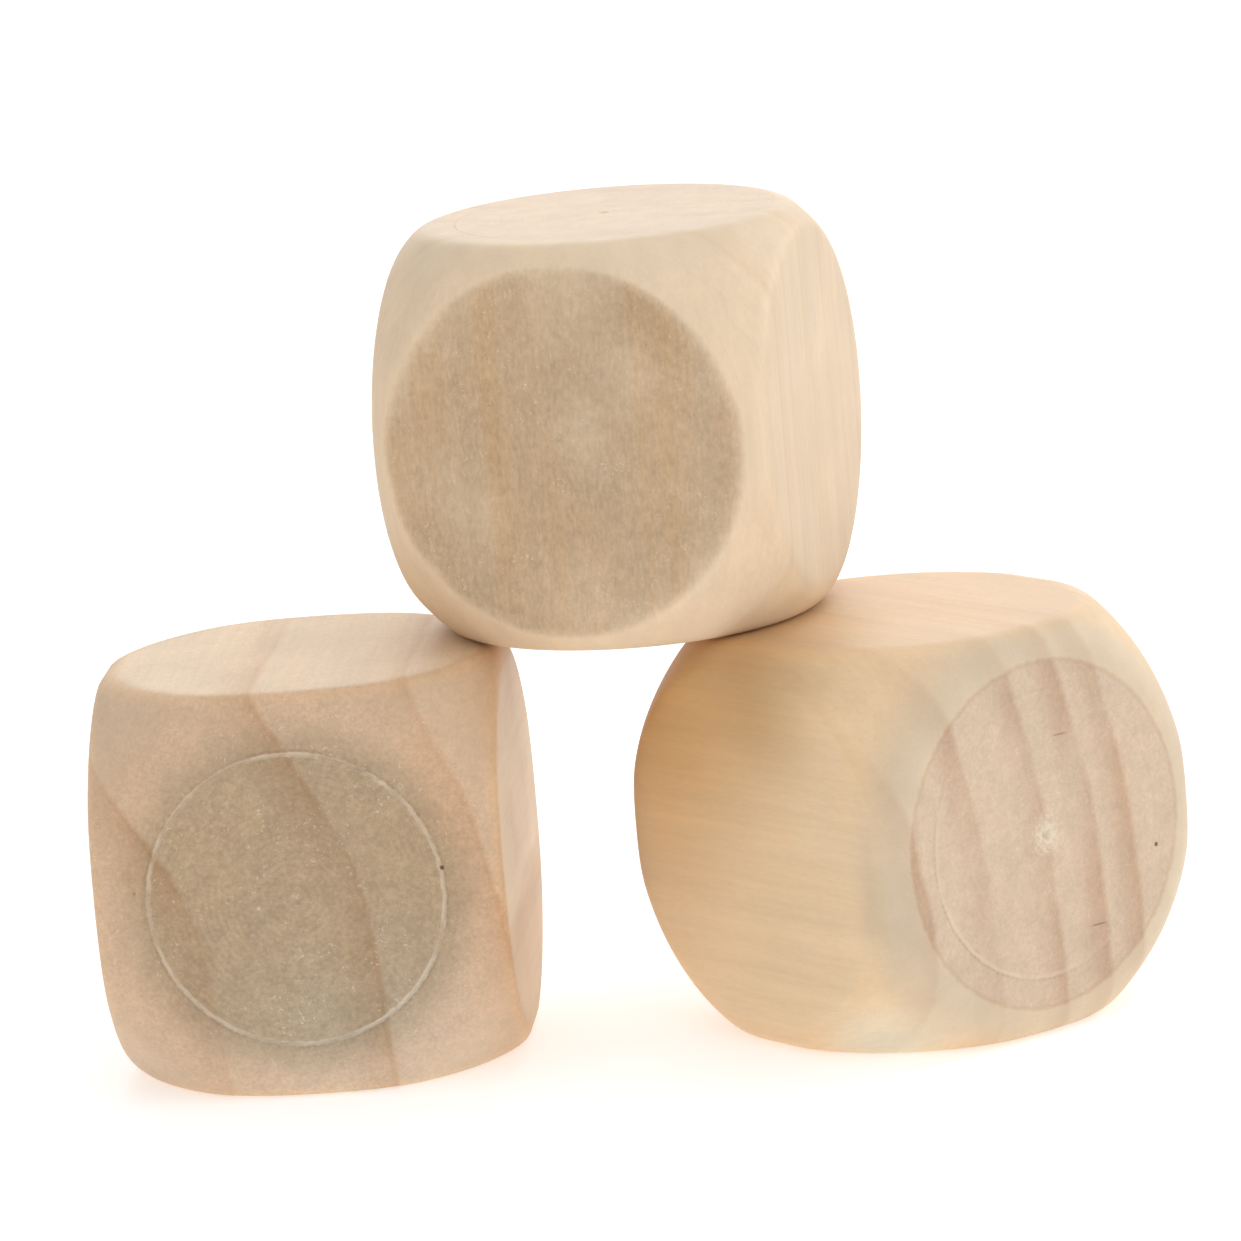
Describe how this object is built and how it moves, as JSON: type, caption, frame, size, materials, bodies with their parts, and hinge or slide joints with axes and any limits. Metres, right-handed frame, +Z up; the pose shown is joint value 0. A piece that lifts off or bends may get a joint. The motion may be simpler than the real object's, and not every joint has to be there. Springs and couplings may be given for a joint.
{
  "type": "giant yard dice",
  "caption": "Solid wooden lawn-game dice with turned, softly rounded corners, round flats, a ring and centre mark on the end flats and blank faces, stacked in a bridge.",
  "frame": {"origin": "on the ground, under the middle of the stacked set's box", "axes": "+Z up, +X from the left die towards the right die, +Y away from whoever faces the set"},
  "size_m": [0.2372, 0.134, 0.1778],
  "materials": {
    "left_die": "bare, tumbled",
    "right_die": "bare, tumbled",
    "top_die": "bare, tumbled"
  },
  "bodies": {
    "left_die": {"left_die": "left_die"},
    "right_die": {"right_die": "right_die"},
    "top_die": {"top_die": "top_die"}
  },
  "joints": [
    {"name": "top_die_lift", "type": "slide", "parent": "left_die", "child": "top_die", "axis": [0, 0, 1], "range_m": [0, 0.12]},
    {"name": "right_die_push", "type": "slide", "parent": "left_die", "child": "right_die", "axis": [1, 0, 0], "range_m": [0, 0.1]}
  ]
}
